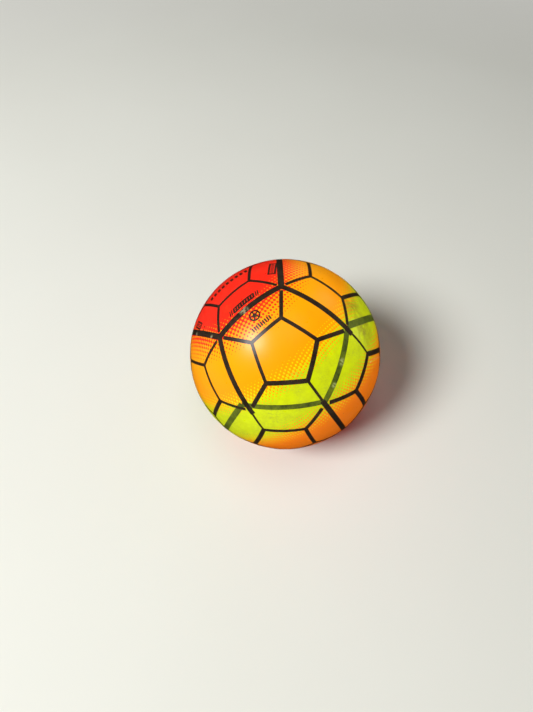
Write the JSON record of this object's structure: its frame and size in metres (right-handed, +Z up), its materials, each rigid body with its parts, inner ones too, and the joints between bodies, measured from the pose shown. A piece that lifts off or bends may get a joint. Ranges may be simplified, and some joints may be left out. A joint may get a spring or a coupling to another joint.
{
  "type": "soccer ball",
  "caption": "Round inflatable moulded vinyl soccer ball with a printed pentagon line pattern and a recessed needle valve.",
  "frame": {"origin": "centre of the ball", "axes": "+Z up as the ball lies on the ground in the picture, -Y toward the viewer; the valve points forward, right and down, 44.6 degrees off -Z"},
  "size_m": [0.2202, 0.22, 0.2201],
  "materials": {
    "skin": "satin vinyl, yellow-orange with a red cap and a lime belt",
    "housing": "soft vinyl, matt",
    "core": "matt",
    "cap_ink": "printed ink, satin",
    "belt_ink": "printed ink, satin",
    "thin_ink": "printed ink, satin"
  },
  "bodies": {
    "root": {"ball_shell": "skin", "valve_housing": "housing", "valve_core": "core", "cap_line_print": "cap_ink", "belt_line_print": "belt_ink", "thin_line_print": "thin_ink"}
  },
  "joints": []
}
